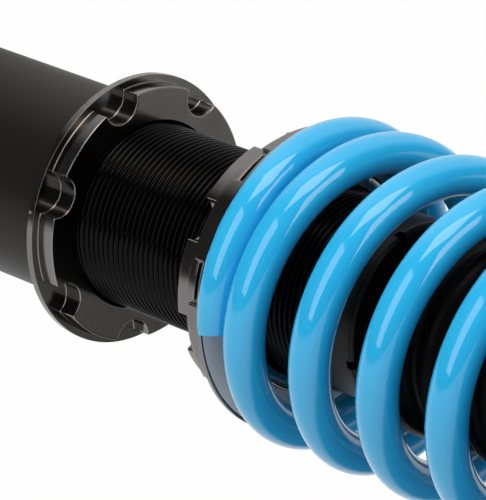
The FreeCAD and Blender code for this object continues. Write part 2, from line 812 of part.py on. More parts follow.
def knuckle_bracket():
    """One bent plate: it wraps the tube, turns out at two bends and ends in two ears."""
    inner = bracket_tube_r + running_clearance
    outer = inner + ear_thick
    ear_y = ear_gap / 2
    bend_y = ear_y + ear_thick + ear_bend_r
    bend_far = outer + ear_bend_r
    bend_x = math.sqrt(bend_far ** 2 - bend_y ** 2)
    bend_angle = math.degrees(math.atan2(bend_y, bend_x))
    ear_end = knuckle_bolt_x + ear_lobe_r
    low = lower_bolt_z - ear_lobe_r
    high = bracket_top

    def bend(side, radius, middle_share=0.5):
        """The bend's arc on one side of the plate, from the wrap to the ear."""
        pivot = FreeCAD.Vector(bend_x, side * bend_y, low)
        first = 180 + bend_angle
        angles = (first, first + (270 - first) * middle_share, 270)
        return [pivot + FreeCAD.Vector(at(radius, a).x, side * at(radius, a).y, 0) for a in angles]

    def edge_of(radius_wrap, radius_bend, y):
        """The plate's one face in plan: ear, bend, wrap, bend, ear."""
        upper = bend(1, radius_bend)
        lower = bend(-1, radius_bend)
        back = FreeCAD.Vector(-radius_wrap, 0, low)
        return [Part.LineSegment(FreeCAD.Vector(ear_end, y, low), upper[2]).toShape(),
                Part.Arc(upper[2], upper[1], upper[0]).toShape(),
                Part.Arc(upper[0], back, lower[0]).toShape(),
                Part.Arc(lower[0], lower[1], lower[2]).toShape(),
                Part.LineSegment(lower[2], FreeCAD.Vector(ear_end, -y, low)).toShape()]

    inside = edge_of(inner, ear_bend_r + ear_thick, ear_y)
    outside = edge_of(outer, ear_bend_r, ear_y + ear_thick)
    tips = []
    for side in (-1, 1):
        start = FreeCAD.Vector(ear_end, side * ear_y, low)
        tips.append(Part.LineSegment(start, start + FreeCAD.Vector(0, side * ear_thick, 0)).toShape())
    plan = Part.Wire(Part.__sortEdges__(inside + outside + tips))
    plate = Part.Face(plan).extrude(FreeCAD.Vector(0, 0, high - low))
    return plate.common(ear_outline(ear_end, low, high, outer)).cut(knuckle_holes())


def ear_outline(ear_end, low, high, wrap_r):
    """The bracket seen from the side: square at the tube, a round lobe at each bolt, a waist between."""
    wide = 4 * bracket_tube_r
    blank = Part.makeBox(knuckle_bolt_x + wrap_r + 1, wide, high - low)
    blank.translate(FreeCAD.Vector(-wrap_r - 1, -wide / 2, low))
    middle = Part.makeBox(ear_lobe_r, wide, upper_bolt_z - lower_bolt_z)
    middle.translate(FreeCAD.Vector(knuckle_bolt_x, -wide / 2, lower_bolt_z))
    lobes = [across(ear_lobe_r, knuckle_bolt_x, z, wide) for z in (lower_bolt_z, upper_bolt_z)]
    middle_z = (lower_bolt_z + upper_bolt_z) / 2
    waist = across(ear_waist_r, ear_end + ear_waist_r - ear_waist_deep, middle_z, wide)
    return blank.fuse([middle] + lobes).removeSplitter().cut(waist)


def across(radius, x, z, wide):
    """A bar along Y through the point (x, z)."""
    return Part.makeCylinder(radius, wide, FreeCAD.Vector(x, -wide / 2, z), FreeCAD.Vector(0, 1, 0))


def knuckle_holes():
    return [across(knuckle_bolt_r, knuckle_bolt_x, z, 4 * bracket_tube_r) for z in (lower_bolt_z, upper_bolt_z)]


def link_tab():
    """The tab for the anti-roll bar's drop link, upright on the tube's far side from the ears."""
    z = bracket_top + link_tab_clear + link_tab_r
    half = link_tab_thick / 2
    eye = Part.makeCylinder(link_tab_r, link_tab_thick, FreeCAD.Vector(-link_tab_reach, -half, z),
                            FreeCAD.Vector(0, 1, 0))
    web = Part.makeBox(link_tab_reach, link_tab_thick, 2 * link_tab_r)
    web.translate(FreeCAD.Vector(-link_tab_reach, -half, z - link_tab_r))
    tab = eye.fuse(web).removeSplitter()
    hole = across(link_hole_r, -link_tab_reach, z, 4 * link_tab_thick)
    tube_space = rod(bracket_tube_r + running_clearance, z - 2 * link_tab_r, z + 2 * link_tab_r)
    return tab.cut([hole, tube_space])


def hose_tab():
    """The flat stay for the brake hose, level on the tube's side."""
    low = bracket_top + hose_tab_clear
    high = low + hose_tab_thick
    eye = rod(hose_tab_r, low, high, FreeCAD.Vector(0, hose_tab_reach, 0))
    web = Part.makeBox(2 * hose_tab_r, hose_tab_reach, hose_tab_thick)
    web.translate(FreeCAD.Vector(-hose_tab_r, 0, low))
    hole = rod(hose_hole_r, low - 1, high + 1, FreeCAD.Vector(0, hose_tab_reach, 0))
    tube_space = rod(bracket_tube_r + running_clearance, low - 1, high + 1)
    return eye.fuse(web).removeSplitter().cut([hole, tube_space])


# The mount
save("top_plate", top_plate())
save("tower_studs", tower_studs())
save("bearing_carrier", bearing_carrier())
save("slider_screws", slider_screws())
save("slider_washers", slider_washers())
save("bearing_race", bearing_race())
save("bearing_circlip", bearing_circlip())

# The rod and what is clamped on it
save("spherical_ball", spherical_ball())
save("upper_spacer", upper_spacer())
save("lower_spacer", lower_spacer())
save("rod_nut", hex_nut(nut_af, stem_r + press_clearance, nut_z, nut_z + nut_high))
save("piston_rod", piston_rod())
save("adjuster_knob", adjuster_knob())
thrust_bore = rod_r + seat_gap
save("thrust_washer_top", ring(bearing_r, thrust_bore, needle_top, bearing_top))
save("needle_cage", ring(bearing_r - 1, thrust_bore, needle_bottom, needle_top))
save("thrust_washer_bottom", ring(bearing_r, thrust_bore, pocket_z, needle_bottom))
save("rebound_stop", rebound_stop())
save("rebound_washer", rebound_washer())
save("rebound_shims", shims(piston_top, 1))
save("piston", piston())
save("piston_band", piston_band())
save("compression_shims", shims(piston_bottom, -1))
save("piston_nut", hex_nut(piston_nut_af, piston_tail_r + press_clearance,
                           piston_nut_top - piston_nut_high, piston_nut_top))

# The spring, its seats and the boot
save("upper_spring_seat", upper_spring_seat())
save("upper_isolator", upper_isolator())
save("bump_stop", bump_stop())
save("dust_boot", dust_boot())
save("spring", spring())
save("lower_isolator", lower_isolator())
save("spring_seat", spring_seat())
save("seat_lock_ring", lock_ring(seat_bottom, False, seat_ring_clock))

# The damper body
save("threaded_body", threaded_body())
save("gland_nut", gland_nut())
save("rod_wiper", rod_wiper())
save("oil_seal", oil_seal())
save("rod_guide", rod_guide())
save("guide_bush", guide_bush())
save("pressure_tube", pressure_tube())
save("base_valve", base_valve())
save("base_cap", base_cap())

# The lower bracket and its lock ring
save("bracket_lock_ring", lock_ring(lower_ring_bottom, True, lower_ring_clock))
save("bracket_tube", bracket_tube())
save("tube_cap", tube_cap())
save("knuckle_bracket", knuckle_bracket())
save("link_tab", link_tab())
save("hose_tab", hose_tab())

print("wheel-side tube foot at z", round(bracket_tube_bottom, 3))
print("spring from z", round(spring_bottom, 3), "to", round(spring_top, 3))
print("knuckle bolts at z", round(upper_bolt_z, 3), round(lower_bolt_z, 3))
print("ball centre at z", round(ball_z, 3), "hub face", round(hub_bottom, 3))
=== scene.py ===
import json
import math
import bpy
import bmesh
import numpy as np
from mathutils import Matrix, Vector


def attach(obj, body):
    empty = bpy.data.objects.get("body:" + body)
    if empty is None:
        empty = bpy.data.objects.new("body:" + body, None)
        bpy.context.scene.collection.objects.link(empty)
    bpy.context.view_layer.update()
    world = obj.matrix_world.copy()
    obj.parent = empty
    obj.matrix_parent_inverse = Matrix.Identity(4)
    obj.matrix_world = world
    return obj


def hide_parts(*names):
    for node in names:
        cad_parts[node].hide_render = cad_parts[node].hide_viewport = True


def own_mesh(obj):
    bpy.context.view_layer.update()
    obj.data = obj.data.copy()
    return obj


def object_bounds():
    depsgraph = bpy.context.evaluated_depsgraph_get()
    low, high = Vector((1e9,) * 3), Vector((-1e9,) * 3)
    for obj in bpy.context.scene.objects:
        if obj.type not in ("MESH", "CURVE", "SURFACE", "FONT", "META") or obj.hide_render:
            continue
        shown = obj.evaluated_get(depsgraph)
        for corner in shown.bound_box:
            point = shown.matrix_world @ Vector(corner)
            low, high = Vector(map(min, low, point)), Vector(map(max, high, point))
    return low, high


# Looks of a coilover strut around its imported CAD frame.
# The dictionaries are in millimetres and degrees, heights are below the tower face.
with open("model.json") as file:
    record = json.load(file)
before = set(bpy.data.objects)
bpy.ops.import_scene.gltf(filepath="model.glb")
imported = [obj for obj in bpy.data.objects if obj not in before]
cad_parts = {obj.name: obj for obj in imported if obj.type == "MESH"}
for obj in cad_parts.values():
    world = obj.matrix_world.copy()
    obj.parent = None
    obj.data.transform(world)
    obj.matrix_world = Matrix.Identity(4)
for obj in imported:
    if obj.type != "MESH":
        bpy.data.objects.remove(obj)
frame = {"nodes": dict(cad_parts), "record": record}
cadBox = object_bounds()
mm = 0.001


# Shader maths

class Value:
    # One output of a node; +, - and * on it add Math nodes
    def __init__(self, surface, socket):
        self.surface = surface
        self.socket = socket

    def combine(self, operation, first, second):
        return self.surface.node("ShaderNodeMath", {"operation": operation}, {0: first, 1: second})

    def __add__(self, other):
        return self.combine("ADD", self, other)

    def __radd__(self, other):
        return self.combine("ADD", other, self)

    def __sub__(self, other):
        return self.combine("SUBTRACT", self, other)

    def __rsub__(self, other):
        return self.combine("SUBTRACT", other, self)

    def __mul__(self, other):
        return self.combine("MULTIPLY", self, other)

    def __rmul__(self, other):
        return self.combine("MULTIPLY", other, self)


class Surface:
    # The nodes of one material, or of the world
    def __init__(self, owner):
        owner.use_nodes = True
        self.owner = owner
        self.tree = owner.node_tree
        self.tree.nodes.clear()
        self.place = self.node("ShaderNodeTexCoord", out="Object")

    # Adds a node: its settings first, then each socket's value or link, and hands back one output
    def node(self, kind, settings=None, sockets=None, out=0):
        made = self.tree.nodes.new(kind)
        for name, setting in (settings or {}).items():
            setattr(made, name, setting)
        for name, given in (sockets or {}).items():
            socket = made.inputs[name]
            if isinstance(given, Value):
                self.tree.links.new(given.socket, socket)
            else:
                socket.default_value = given
        return Value(self, made.outputs[out])

    def between(self, value, low, high):
        # 0 at low, 1 at high, clamped
        return self.node("ShaderNodeMapRange", {}, {0: value, 1: low, 2: high})

    def mix(self, factor, first, second):
        pair = [c if isinstance(c, Value) else (*c, 1) for c in (first, second)]
        return self.node("ShaderNodeMix", {"data_type": "RGBA"}, {0: factor, 6: pair[0], 7: pair[1]}, out=2)

    def noise(self, scale, detail=3.0, rough=0.55, place=None):
        sockets = {"Vector": place or self.place, "Scale": scale, "Detail": detail, "Roughness": rough}
        return self.node("ShaderNodeTexNoise", {}, sockets)

    def stretched(self, x, y, z):
        # Object coordinates scaled by a factor on each axis
        return self.node("ShaderNodeMapping", {}, {"Vector": self.place, "Scale": (x, y, z)})

    def axisDistance(self):
        # Distance from the strut's axis, in metres
        flat = self.node("ShaderNodeVectorMath", {"operation": "MULTIPLY"}, {0: self.place, 1: (1, 1, 0)})
        return self.node("ShaderNodeVectorMath", {"operation": "LENGTH"}, {0: flat}, out=1)

    def turnedRings(self, spacing):
        # Noise read along the radius and the height alone: the fine rings that a lathe tool leaves
        height = self.node("ShaderNodeSeparateXYZ", {}, {0: self.place}, out=2)
        spot = self.node("ShaderNodeCombineXYZ", {}, {0: self.axisDistance(), 2: height})
        return self.noise(1 / spacing, 2.0, 0.6, spot)

    def along(self, way, axis):
        return self.node("ShaderNodeVectorMath", {"operation": "DOT_PRODUCT"}, {0: way, 1: axis}, out=1)

    def seenBy(self, kind):
        return self.node("ShaderNodeLightPath", out=f"Is {kind} Ray")

    # 1 towards the white table and wall, dim towards the room and where the table lies in shade
    def studioLevel(self, way):
        offTable = self.between(self.along(way, studio["offTable"]), *studio["tableEdge"])
        offWall = 1 - self.between(self.along(way, studio["toWall"]), *studio["wallEdge"])
        lit = 1 - self.between(self.along(way, studio["toShade"]), *studio["shadeEdge"])
        return studio["room"] + (1 - studio["room"]) * lit * (1 - offTable * offWall)

    def bump(self, height, distance):
        return self.node("ShaderNodeBump", {}, {"Distance": distance, "Height": height})

    def finish(self, sockets):
        self.output("ShaderNodeOutputMaterial", self.node("ShaderNodeBsdfPrincipled", {}, sockets))
        return self.owner

    def output(self, kind, shader):
        made = self.tree.nodes.new(kind)
        self.tree.links.new(shader.socket, made.inputs[0])


def newSurface(name):
    return Surface(bpy.data.materials.new(name))


# Finishes

finishes = {
    # gunmetal's edge loops are painted lighter: partly edge wear, partly painted highlight
    "gunmetal": {"colour": (0.208, 0.200, 0.194), "dark": (0.180, 0.173, 0.168), "roughness": 0.16,
                 "rings": 0.28, "edgeWearAndHighlight": 0.15},
    "blackPlate": {"colour": (0.040, 0.037, 0.035), "dark": (0.026, 0.024, 0.023), "roughness": 0.42,
                   "rings": 0.4},
    "zinc": {"colour": (0.60, 0.61, 0.63), "dark": (0.45, 0.46, 0.48), "roughness": 0.28, "rings": 0.3},
    "bearingSteel": {"colour": (0.50, 0.51, 0.53), "dark": (0.40, 0.41, 0.43), "roughness": 0.18,
                     "rings": 0.15},
    "chrome": {"colour": (0.78, 0.79, 0.81), "dark": (0.70, 0.71, 0.73), "roughness": 0.07, "rings": 0.1},
    "plainSteel": {"colour": (0.38, 0.38, 0.39), "dark": (0.28, 0.28, 0.29), "roughness": 0.30,
                   "rings": 0.25},
    "bronze": {"colour": (0.52, 0.34, 0.16), "dark": (0.40, 0.25, 0.12), "roughness": 0.30, "rings": 0.2},
    "blackPaint": {"colour": (0.0142, 0.0115, 0.0103), "dark": (0.0080, 0.0066, 0.0060),
                   "roughness": 0.42, "shine": 0.18, "grain": 0.35, "height": 0.010},
    "bootRubber": {"colour": (0.004, 0.004, 0.0042), "dark": (0.003, 0.003, 0.003), "roughness": 0.34,
                   "shine": 0.05},
    "sealRubber": {"colour": (0.020, 0.020, 0.022), "dark": (0.020, 0.020, 0.022), "roughness": 0.50},
    "foam": {"colour": (0.66, 0.54, 0.26), "dark": (0.56, 0.44, 0.19), "roughness": 0.65, "grain": 0.8,
             "height": 0.06},
    "isolator": {"colour": (0.99, 0.87, 0.81), "dark": (0.96, 0.84, 0.78), "roughness": 0.5, "grain": 0.4,
                 "height": 0.01},
    "nylon": {"colour": (0.055, 0.050, 0.045), "dark": (0.04, 0.037, 0.034), "roughness": 0.5},
    "springBlue": {"colour": (0.028, 0.485, 0.89), "deep": (0.020, 0.455, 0.87), "roughness": 0.4,
                   "shine": 0.04, "coatRoughness": 0.06, "coatIor": 1.6},
    "blackThread": {"colour": (0.0012, 0.0012, 0.0012), "rubbed": (0.00216, 0.00216, 0.00216),
                    "roughness": 0.12, "shine": 0.11},
}
# What a soft finish has where its row says nothing else: grain size and height in millimetres
plainSoft = {"shine": 0.4, "grain": 0.5, "height": 0.02}
# Noise scales per metre, the band of each noise that shades, and how far roughness wanders
textures = {
    "metal": {"cloud": 60.0, "band": (0.35, 0.65), "cloudRough": 0.10, "ringRough": 0.06, "ringDepth": 0.004},
    "paint": {"broad": 25.0, "broadShare": 0.35, "fineShare": 0.65, "band": (0.35, 0.65),
              "broadRough": 0.08, "fineRough": 0.10},
    "soft": {"bloom": 45.0, "band": (0.4, 0.75), "bloomRough": 0.14},
    "gloss": {"broad": 18.0, "peel": 260.0, "band": (0.35, 0.65), "peelHeight": 0.02},
    "thread": {"rub": (60, 60, 400), "fine": 2500.0, "band": (0.55, 0.8), "roughBand": (0.5, 0.8),
               "rubRough": 0.12, "fineHeight": 0.004},
}


# Turned metal: two close tones in broad clouds, lathe rings as bump, roughness that wanders, and edge loops
# painted lighter, partly as edge wear and partly as painted highlight
def turnedMetal(name):
    look = finishes[name]
    texture = textures["metal"]
    surface = newSurface(name)
    cloud = surface.noise(texture["cloud"], 3.0)
    rings = surface.turnedRings(look["rings"] * mm)
    colour = surface.mix(surface.between(cloud, *texture["band"]), look["dark"], look["colour"])
    # Where the edge attribute is set the colour turns lighter: partly worn bare metal at the edges, partly a
    # painted highlight for the bright lines that the bevels catch
    if "edgeWearAndHighlight" in look:
        edge = surface.node("ShaderNodeAttribute", {"attribute_name": "edge"}, out="Fac")
        bright = tuple(min(1.0, c * (1 + look["edgeWearAndHighlight"])) for c in look["colour"])
        colour = surface.mix(edge, colour, bright)
    wander = texture["cloudRough"] * (cloud - 0.5) + texture["ringRough"] * (rings - 0.5)
    return surface.finish({"Base Color": colour, "Metallic": 1.0, "Roughness": look["roughness"] + wander,
                           "Normal": surface.bump(rings, texture["ringDepth"] * mm)})


# Powder coat: grains a little lighter and darker over a slow drift, with a soft orange peel as bump
def powderCoat(name):
    look = finishes[name]
    texture = textures["paint"]
    surface = newSurface(name)
    broad = surface.noise(texture["broad"], 2.0)
    fine = surface.noise(1 / (look["grain"] * mm), 2.0)
    shade = surface.between(texture["broadShare"] * broad + texture["fineShare"] * fine, *texture["band"])
    colour = surface.mix(shade, look["dark"], look["colour"])
    wander = texture["broadRough"] * (broad - 0.5) + texture["fineRough"] * (fine - 0.5)
    return surface.finish({"Base Color": colour, "Roughness": look["roughness"] + wander,
                           "Specular IOR Level": look["shine"],
                           "Normal": surface.bump(fine, look["height"] * mm)})


# Rubber and soft plastic: fine grain, faint pale bloom in clouds
def softPlastic(name):
    look = {**plainSoft, **finishes[name]}
    texture = textures["soft"]
    surface = newSurface(name)
    bloom = surface.noise(texture["bloom"], 4.0)
    fine = surface.noise(1 / (look["grain"] * mm), 3.0)
    colour = surface.mix(surface.between(bloom, *texture["band"]), look["dark"], look["colour"])
    roughness = look["roughness"] + texture["bloomRough"] * (bloom - 0.5)
    return surface.finish({"Base Color": colour, "Roughness": roughness, "Specular IOR Level": look["shine"],
                           "Normal": surface.bump(fine, look["height"] * mm)})


# Gloss paint on the spring: colour deepens in slow patches under a clear coat with a little orange peel
def glossPaint(name):
    look = finishes[name]
    texture = textures["gloss"]
    surface = newSurface(name)
    broad = surface.noise(texture["broad"], 2.0)
    peel = surface.noise(texture["peel"], 2.0)
    colour = surface.mix(surface.between(broad, *texture["band"]), look["deep"], look["colour"])
    return surface.finish({"Base Color": colour, "Roughness": look["roughness"],
                           "Specular IOR Level": look["shine"], "Coat Weight": 1.0,
                           "Coat Roughness": look["coatRoughness"], "Coat IOR": look["coatIor"],
                           "Normal": surface.bump(peel, texture["peelHeight"] * mm)})


# Black coat over the cut thread: deep gloss, small dull patches where the lock rings have rubbed
def threadCoat(name):
    look = finishes[name]
    texture = textures["thread"]
    surface = newSurface(name)
    rub = surface.noise(1, 3.0, 0.6, surface.stretched(*texture["rub"]))
    fine = surface.noise(texture["fine"], 2.0)
    colour = surface.mix(surface.between(rub, *texture["band"]), look["colour"], look["rubbed"])
    roughness = look["roughness"] + texture["rubRough"] * surface.between(rub, *texture["roughBand"])
    return surface.finish({"Base Color": colour, "Roughness": roughness, "Specular IOR Level": look["shine"],
                           "Normal": surface.bump(fine, texture["fineHeight"] * mm)})


materials = {
    "gunmetal": turnedMetal("gunmetal"),
    "black_plate": turnedMetal("blackPlate"),
    "black_paint": powderCoat("blackPaint"),
    "black_thread": threadCoat("blackThread"),
    "spring_blue": glossPaint("springBlue"),
    "zinc_steel": turnedMetal("zinc"),
    "bearing_steel": turnedMetal("bearingSteel"),
    "chrome_rod": turnedMetal("chrome"),
    "plain_steel": turnedMetal("plainSteel"),
    "boot_rubber": softPlastic("bootRubber"),
    "buffer_foam": softPlastic("foam"),
    "isolator_grey": softPlastic("isolator"),
    "seal_rubber": softPlastic("sealRubber"),
    "bearing_nylon": softPlastic("nylon"),
    "bush_bronze": turnedMetal("bronze"),
}
nodeSlot = {part["node"]: part["material_slot"] for part in frame["record"]["subparts"]}
bodyNodes = frame["record"]["behaviour"]["bodies"]
nodeBody = {node: body for body, members in bodyNodes.items() for node in members}
for node, piece in frame["nodes"].items():
    piece.data.materials.clear()
    piece.data.materials.append(materials[nodeSlot[node]])
print("finishes made:", len(materials))


# Making meshes

# A mesh from points and quads; closed shells that come out inside out are turned round
def makeMesh(name, points, quads, edge=None, weld=False):
    points = np.asarray(points, dtype=np.float64)
    quads = np.asarray(quads, dtype=np.int32)
    corners = points[quads]
    across = np.cross(corners[:, 2] - corners[:, 0], corners[:, 3] - corners[:, 1])
    if (corners.mean(axis=1) * across).sum() < 0:
        quads = quads[:, ::-1]
    mesh = bpy.data.meshes.new(name)
    mesh.vertices.add(len(points))
    mesh.vertices.foreach_set("co", (points * mm).astype(np.float32).ravel())
    mesh.loops.add(quads.size)
    mesh.loops.foreach_set("vertex_index", np.ascontiguousarray(quads).ravel())
    mesh.polygons.add(len(quads))
    mesh.polygons.foreach_set("loop_start", np.arange(0, quads.size, 4, dtype=np.int32))
    mesh.polygons.foreach_set("use_smooth", np.ones(len(quads), dtype=bool))
    mesh.update(calc_edges=True)
    if edge is not None:
        layer = mesh.attributes.new("edge", "FLOAT", "POINT")
        layer.data.foreach_set("value", np.asarray(edge, dtype=np.float32).ravel())
    if weld:
        shell = bmesh.new()
        shell.from_mesh(mesh)
        bmesh.ops.remove_doubles(shell, verts=shell.verts, dist=1e-7)
        shell.to_mesh(mesh)
        shell.free()
    mesh.validate()
    return mesh


# Quads of a grid of rows by columns, each way closed on itself or open
def gridQuads(rows, columns, closeRows, closeColumns, start=0):
    i = np.arange(rows if closeRows else rows - 1)[:, None]
    j = np.arange(columns if closeColumns else columns - 1)[None, :]
    nextRow = (i + 1) % rows
    nextColumn = (j + 1) % columns
    quads = [i * columns + j, nextRow * columns + j, nextRow * columns + nextColumn, i * columns + nextColumn]
    return np.stack(np.broadcast_arrays(*quads), axis=-1).reshape(-1, 4) + start


# Several closed shells as one list of points and quads
def joinShells(shells):
    points = []
    quads = []
    count = 0
    for shellPoints, shellQuads in shells:
        points.append(shellPoints)
        quads.append(shellQuads + count)
        count += len(shellPoints)
    return np.concatenate(points), np.concatenate(quads)


# Puts a mesh into the scene on a node's body, with the node's finish, and hides the node
def addPiece(name, mesh, *nodes, weighted=True, body=None, slot=None):
    piece = bpy.data.objects.new(name, mesh)
    bpy.context.scene.collection.objects.link(piece)
    slot = slot or nodeSlot[nodes[0]]
    mesh.materials.clear()
    mesh.materials.append(materials[slot])
    if weighted:
        shading = piece.modifiers.new("evenShading", "WEIGHTED_NORMAL")
        shading.keep_sharp = True
    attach(piece, body or nodeBody[nodes[0]])
    if nodes:
        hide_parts(*nodes)
    return piece


def camelCase(node):
    first, *others = node.split("_")
    return first + "".join(word.title() for word in others)


cornerShare = 0.45             # of a side, the most that an arc takes
straight = math.radians(88)    # half angle above which a corner is left as it is


# An outline with its corners rounded: each corner becomes an arc that touches both of its sides
def rounded(outline, radius, steps=3):
    outline = np.asarray(outline, dtype=float)
    made = []
    for last, corner, following in zip(np.roll(outline, 1, 0), outline, np.roll(outline, -1, 0)):
        back = last - corner
        ahead = following - corner
        reach = min(np.linalg.norm(back), np.linalg.norm(ahead)) * cornerShare
        back = back / np.linalg.norm(back)
        ahead = ahead / np.linalg.norm(ahead)
        half = math.acos(np.clip(back @ ahead, -1, 1)) / 2
        if corner[0] < 1e-6 or half > straight:
            made.append(corner)
            continue
        arc = min(radius, reach * math.tan(half))
        touch = arc / math.tan(half)
        bisector = (back + ahead) / np.linalg.norm(back + ahead)
        middle = corner + bisector * arc / math.sin(half)
        first = corner + back * touch - middle
        final = corner + ahead * touch - middle
        for share in np.linspace(0, 1, steps + 1):
            spoke = first * (1 - share) + final * share
            made.append(middle + spoke / np.linalg.norm(spoke) * arc)
    return np.array(made)


# A full turn of a closed outline of (radius, height): point = (radius cos a, radius sin a, height)
def turned(outline, columns):
    outline = np.asarray(outline, dtype=float)
    turn = np.linspace(0, 2 * np.pi, columns, endpoint=False)
    radius, height = outline[:, 0:1], outline[:, 1:2]
    points = np.stack(np.broadcast_arrays(radius * np.cos(turn), radius * np.sin(turn), height), axis=-1)
    return points.reshape(-1, 3), gridQuads(len(outline), columns, True, True)


# Rows of points with a middle point put before the first and after the last, so that both ends are closed
def closedEnds(points):
    ends = [np.repeat(points[i].mean(axis=0)[None, None, :], points.shape[1], axis=1) for i in (0, -1)]
    points = np.concatenate([ends[0], points, ends[1]])
    return points.reshape(-1, 3), gridQuads(points.shape[0], points.shape[1], False, True)


# A profile carried along a path: point = path + size * (across * profile x + upward * profile y)
def swept(path, across, upward, profile, size):
    scaled = profile[None, :, :] * size[:, None, None]
    points = path[:, None, :] + across[:, None, :] * scaled[..., 0:1] + upward[:, None, :] * scaled[..., 1:2]
    return closedEnds(points)


# Threaded body

thread = {"crest": 27.0, "depth": 1.05, "pitch": 2.0, "top": -209.2, "plainFrom": -356.0,
          "bottom": -417.2, "bore": 24.5, "endChamfer": 1.0, "stepsPerTurn": 90}
ridge = {"points": 9, "sharp": 1.3, "halfWide": 0.47, "sunk": 0.04, "least": 0.02, "fadeTurns": 0.5}


# A helical ridge with closed ends, carried round the axis, one pitch up in each turn. Over its width a, from
# -1 to 1, it stands 1 - |a| ** sharp of the depth over the root, and it fades out at both ends.
def threadRidge(crest, depth, pitch, low, high, stepsPerTurn, centre=(0, 0)):
    turns = (high - low) / pitch
    angle = np.linspace(0, 2 * np.pi * turns, int(turns * stepsPerTurn) + 1)[:, None]
    across = np.linspace(-1, 1, ridge["points"])
    stand = depth * (1 - np.abs(across) ** ridge["sharp"])
    stand[[0, -1]] -= ridge["sunk"]
    fromEnd = np.minimum(angle, angle[-1] - angle) / (2 * np.pi * ridge["fadeTurns"])
    radius = crest - depth + stand * np.clip(fromEnd, ridge["least"], 1)
    height = low + pitch * angle / (2 * np.pi) + across * ridge["halfWide"] * pitch
    points = [centre[0] + radius * np.cos(angle), centre[1] + radius * np.sin(angle), height]
    return closedEnds(np.stack(points, axis=-1))


def makeThreadedBody(t):
    root = t["crest"] - t["depth"]
    chamfer = t["endChamfer"]
    crest = t["crest"]
    low = t["plainFrom"] + chamfer
    core = [(t["bore"], t["bottom"]), (crest - chamfer, t["bottom"]), (crest, t["bottom"] + chamfer),
            (crest, t["plainFrom"]), (root, low), (root, t["top"]), (t["bore"], t["top"])]
    helix = threadRidge(crest, t["depth"], t["pitch"], low, t["top"] - chamfer, t["stepsPerTurn"])
    points, quads = joinShells([turned(core, 96), helix])
    addPiece("threadedBodySkin", makeMesh("threadedBodySkin", points, quads), "threaded_body")


makeThreadedBody(thread)
print("thread cut")


# Spring

spring = {"bottom": -233.7, "top": -43.7, "wire": 5.725, "coil": 40.79, "pitch": 24.4, "tail": 52.7,
          "closed": 340.0, "tuck": 2.6, "curl": 1.2, "grind": 1.865, "start": -57.3,
          "stepsPerTurn": 110, "section": 48, "capEdge": 0.35, "slantOut": 0.33, "slantUp": 0.34,
          "slantReach": 14.0, "tipOut": 2.9}


# Height over the foot at a turn from the wire's tip: the tip tucks down, one coil closes on a parabola,
# and then the coils rise evenly
def springRise(turn, s):
    foot = s["wire"] - s["grind"]
    slope = s["pitch"] / 360
    tucked = foot - s["tuck"] * (np.clip(s["tail"] - turn, 0, None) / s["tail"]) ** 1.5
    closing = foot + slope * (turn - s["tail"]) ** 2 / (2 * s["closed"])
    rising = foot + slope * s["closed"] / 2 + slope * (turn - s["tail"] - s["closed"])
    return np.where(turn < s["tail"], tucked, np.where(turn < s["tail"] + s["closed"], closing, rising))


# The wire's centre: radius and angle of a left-handed helix, alike at both ends
def springPath(turn, total, s):
    near = np.minimum(turn, total - turn)
    rise = springRise(near, s)
    height = np.where(turn <= total / 2, s["bottom"] + rise, s["top"] - rise)
    radius = s["coil"] - s["curl"] * (np.clip(s["tail"] - near, 0, None) / s["tail"]) ** 2
    angle = np.radians(s["start"] - turn)
    return np.stack([radius * np.cos(angle), radius * np.sin(angle), height], axis=-1)


# The lower tip is cut slanting: near it a point slides along the wire by its place in the section
def slantTip(points, path, along, across, upward, s):
    rows = points.reshape(len(path) + 2, -1, 3)
    rails = (path, along, across, upward)
    line, way, out, up = (np.concatenate([rail[:1], rail, rail[-1:]]) for rail in rails)
    step = np.linalg.norm(np.diff(line, axis=0), axis=1)
    fade = np.clip(1 - np.concatenate([[0], np.cumsum(step)]) / s["slantReach"], 0, 1)
    offset = rows - line[:, None, :]
    slide = s["slantOut"] * (offset * out[:, None, :]).sum(axis=2)
    slide += s["slantUp"] * (offset * up[:, None, :]).sum(axis=2) - s["tipOut"]
    return (rows + (fade[:, None] * slide)[..., None] * way[:, None, :]).reshape(-1, 3)


def makeSpring(s):
    closed = s["tail"] + s["closed"]
    length = s["top"] - s["bottom"]
    total = 2 * closed + (length - 2 * springRise(np.array(closed), s)) * 360 / s["pitch"]
    turn = np.linspace(0, total, int(total / 360 * s["stepsPerTurn"]) + 1)
    path = springPath(turn, total, s)
    along = np.gradient(path, axis=0)
    along /= np.linalg.norm(along, axis=1, keepdims=True)
    out = path * (1, 1, 0)
    upward = np.cross(along, out)
    upward /= np.linalg.norm(upward, axis=1, keepdims=True)
    across = np.cross(upward, along)
    size = np.ones(len(turn))
    size[[0, -1]] = 1 - s["capEdge"] / s["wire"]
    around = np.linspace(0, 2 * np.pi, s["section"], endpoint=False)
    profile = s["wire"] * np.stack([np.cos(around), np.sin(around)], axis=-1)
    points, quads = swept(path, across, upward, profile, size)
    points[:, 2] = np.clip(points[:, 2], s["bottom"], s["top"])
    points = slantTip(points, path, along, across, upward, s)
    mesh = makeMesh("springWire", points, quads, weld=True)
    piece = addPiece("springWire", mesh, "spring", weighted=False)
    mesh.set_sharp_from_angle(angle=math.radians(38))
    return piece


springWire = makeSpring(spring)
print("spring wound")


# Dust boot

boot = {"ribs": 9, "low": -187.2, "high": -61.5, "bottom": -188.2, "top": -52.5, "crest": 29.6,
        "valley": 25.0, "flatten": 0.8, "wall": 1.2, "flange": 30.0, "flangeThick": 2.0, "lip": 0.3,
        "bead": 0.3, "beadWide": 0.45, "outerSteps": 40, "innerSteps": 14}


